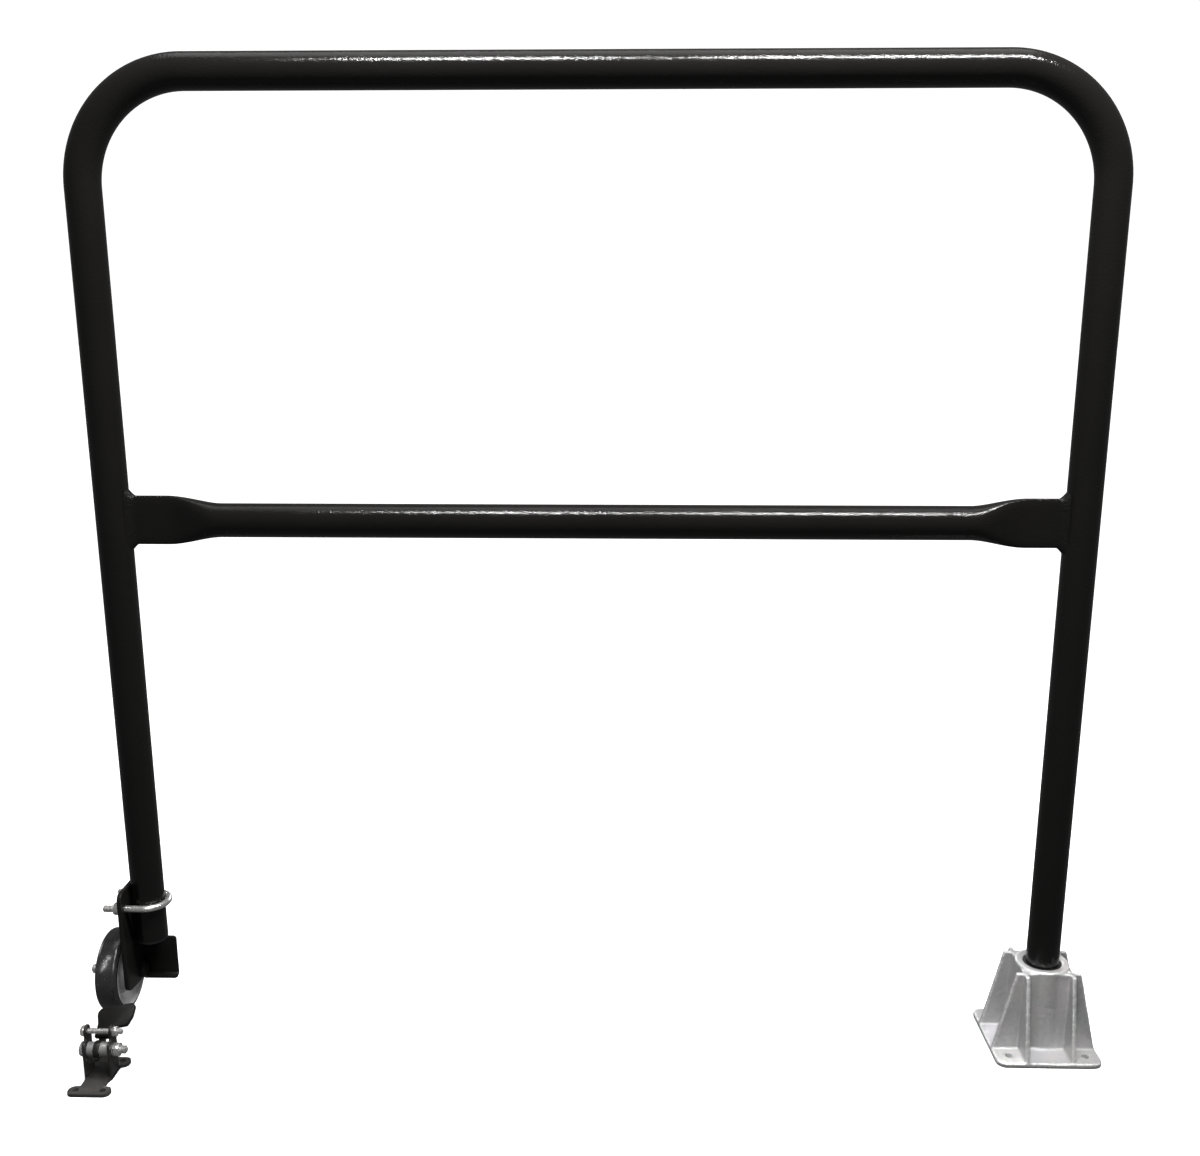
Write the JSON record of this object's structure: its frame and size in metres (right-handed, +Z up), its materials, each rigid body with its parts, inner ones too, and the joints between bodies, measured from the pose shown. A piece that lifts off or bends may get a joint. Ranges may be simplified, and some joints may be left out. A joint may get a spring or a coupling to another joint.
{
  "type": "swinging guard rail",
  "caption": "Bent tube handrail hoop with a mid rail; one leg turns in a ribbed floor socket, the other carries a clamped wheel that stops at a floor catch.",
  "frame": {"origin": "centre of the floor socket underside, on the pivot axis of the gate", "axes": "+Z up along the pivot axis; the gate reaches along -X to its free leg; +Y points away from the floor catch"},
  "size_m": [1.2188, 0.207, 1.1221],
  "materials": {
    "black_powder_coat": "semi-gloss black powder coat",
    "cast_aluminium": "as-cast, lightly tumbled",
    "zinc_steel": "bright zinc plate",
    "dull_zinc": "dull grey zinc plate",
    "black_nylon": "moulded nylon",
    "black_steel": "black electrocoat",
    "tread_rubber": "glossy moulded tread",
    "grey_hub": "moulded grey nylon"
  },
  "bodies": {
    "floor_fittings": {"socket_casting": "cast_aluminium", "socket_bush": "black_nylon", "socket_thrust_pad": "black_nylon", "catch_bracket": "black_steel", "catch_pivot_bolt": "zinc_steel", "catch_pivot_nut": "zinc_steel", "catch_spacer_left": "dull_zinc", "catch_spacer_right": "dull_zinc", "catch_stop_bolt": "zinc_steel", "catch_stop_nut": "zinc_steel"},
    "gate": {"hoop_tube": "black_powder_coat", "mid_rail": "black_powder_coat", "rail_welds": "black_powder_coat", "pivot_leg_plug": "black_nylon", "free_leg_cap": "black_nylon"},
    "wheel_bracket": {"bracket_side_plate": "black_steel", "bracket_seat_angle": "black_steel", "u_bolt": "zinc_steel", "u_bolt_washers": "zinc_steel", "u_bolt_nuts": "zinc_steel", "axle_bolt": "dull_zinc", "axle_washers": "dull_zinc", "axle_nut": "dull_zinc"},
    "wheel": {"wheel_tread": "tread_rubber", "wheel_hub": "grey_hub", "wheel_bearings": "zinc_steel", "bearing_spacer": "dull_zinc"},
    "stop_flap": {"flap_arm": "black_steel", "flap_paddle": "black_steel"}
  },
  "joints": [
    {"name": "gate_swing", "type": "hinge", "parent": "floor_fittings", "child": "gate", "pos_m": [0, 0, 0.06], "axis": [0, 0, 1], "range_deg": [-170, 0]},
    {"name": "bracket_height", "type": "slide", "parent": "gate", "child": "wheel_bracket", "axis": [0, 0, 1], "range_m": [-0.025, 0.03]},
    {"name": "wheel_spin", "type": "hinge", "parent": "wheel_bracket", "child": "wheel", "pos_m": [-1.1217, 0.008, 0.0758], "axis": [1, 0, 0], "continuous": true},
    {"name": "stop_flap_tilt", "type": "hinge", "parent": "floor_fittings", "child": "stop_flap", "pos_m": [-1.108, -0.1, 0.033], "axis": [1, 0, 0], "range_deg": [-60, 18]}
  ]
}
